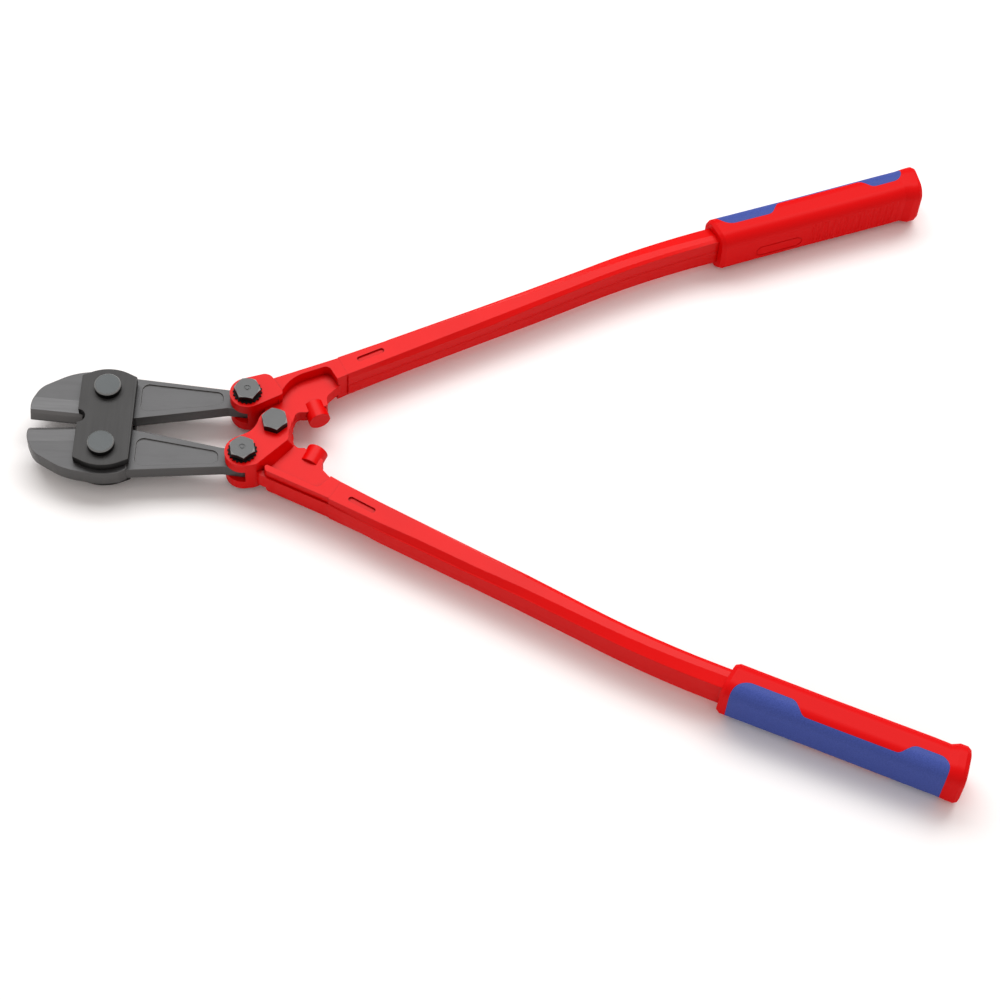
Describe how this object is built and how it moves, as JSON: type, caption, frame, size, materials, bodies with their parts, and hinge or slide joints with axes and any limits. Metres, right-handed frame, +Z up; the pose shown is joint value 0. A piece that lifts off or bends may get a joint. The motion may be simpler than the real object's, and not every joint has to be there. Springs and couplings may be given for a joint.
{
  "type": "bolt cutters",
  "caption": "Two-handed compound-lever bolt cutters with forged jaws, connecting plates, forged levers, bent tube handles and two-component grips.",
  "frame": {"origin": "middle of the tool's outline at floor level, in the half-open rest pose, lying flat", "axes": "+X from the jaws to the grips, +Y to the upper handle, +Z up out of the face with the bolt heads"},
  "size_m": [0.5668, 0.4598, 0.035],
  "materials": {
    "jaw_steel": "tempered, grey, fine ground",
    "plate_steel": "black oxide, milled",
    "bolt_steel": "zinc, satin",
    "washer_steel": "black phosphate",
    "lever_red": "gloss powder coat",
    "tube_red": "gloss powder coat",
    "grip_red": "satin hard grip",
    "inlay_blue": "matte soft grip"
  },
  "bodies": {
    "connecting_plates": {"top_plate": "plate_steel", "bottom_plate": "plate_steel", "upper_pivot_bolt": "bolt_steel", "lower_pivot_bolt": "bolt_steel", "upper_pivot_nut": "bolt_steel", "lower_pivot_nut": "bolt_steel"},
    "upper_jaw": {"upper_jaw": "jaw_steel"},
    "lower_jaw": {"lower_jaw": "jaw_steel"},
    "upper_handle": {"upper_lever": "lever_red", "upper_tube": "tube_red", "upper_grip": "grip_red", "upper_grip_inlay": "inlay_blue", "upper_toggle_bolt": "bolt_steel", "upper_toggle_washer": "washer_steel", "upper_toggle_nut": "bolt_steel"},
    "lower_handle": {"lower_lever": "lever_red", "lower_tube": "tube_red", "lower_grip": "grip_red", "lower_grip_inlay": "inlay_blue", "lower_toggle_bolt": "bolt_steel", "lower_toggle_washer": "washer_steel", "lower_toggle_nut": "bolt_steel", "centre_bolt": "bolt_steel", "centre_nut": "bolt_steel"}
  },
  "joints": [
    {"name": "upper_jaw_pivot", "type": "hinge", "parent": "connecting_plates", "child": "upper_jaw", "pos_m": [-0.2363, 0.0212, 0.0175], "axis": [0, 0, 1], "range_deg": [-0.83, 3.8]},
    {"name": "upper_handle_hinge", "type": "hinge", "parent": "upper_jaw", "child": "upper_handle", "pos_m": [-0.1502, 0.0219, 0.0175], "axis": [0, 0, 1], "range_deg": [-26.8, 5.82]},
    {"name": "lower_jaw_pivot", "type": "hinge", "parent": "connecting_plates", "child": "lower_jaw", "pos_m": [-0.2363, -0.0212, 0.0175], "axis": [0, 0, 1], "range_deg": [-3.8, 0.83]},
    {"name": "lower_handle_hinge", "type": "hinge", "parent": "lower_jaw", "child": "lower_handle", "pos_m": [-0.1502, -0.0219, 0.0175], "axis": [0, 0, 1], "range_deg": [-5.82, 26.8]}
  ],
  "couplings": [
    {"joint": "upper_handle_hinge", "follows": "lower_handle_hinge", "ratio": -1},
    {"joint": "lower_jaw_pivot", "follows": "lower_handle_hinge", "ratio": -0.14163},
    {"joint": "upper_jaw_pivot", "follows": "lower_handle_hinge", "ratio": 0.14163}
  ]
}
